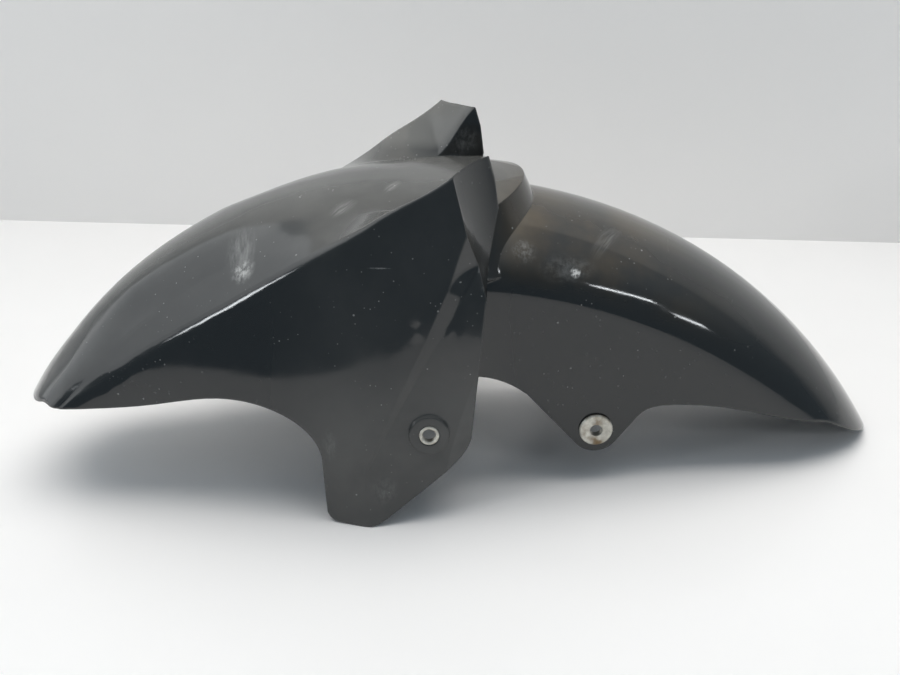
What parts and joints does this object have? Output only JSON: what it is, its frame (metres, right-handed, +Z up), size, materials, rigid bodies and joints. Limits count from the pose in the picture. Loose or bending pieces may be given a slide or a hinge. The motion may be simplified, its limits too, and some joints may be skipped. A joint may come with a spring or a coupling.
{
  "type": "motorcycle front mudguard",
  "caption": "Glossy moulded front mudguard for a road motorcycle: arched cover over the wheel with fork horns, bolt panels and steel collars at its bolt holes.",
  "frame": {"origin": "on the floor under the middle of the part's box, as it lies on its panel feet and tail", "axes": "+X to the rear of the motorcycle, +Y to its right, +Z up"},
  "size_m": [0.5924, 0.221, 0.2255],
  "materials": {
    "shell_black": "gloss black, scuffed and dusty",
    "collar_zinc": "dull zinc plate"
  },
  "bodies": {
    "root": {"mudguard_shell": "shell_black", "front_collar_left": "collar_zinc", "front_collar_right": "collar_zinc", "rear_collar_left": "collar_zinc", "rear_collar_right": "collar_zinc"}
  },
  "joints": []
}
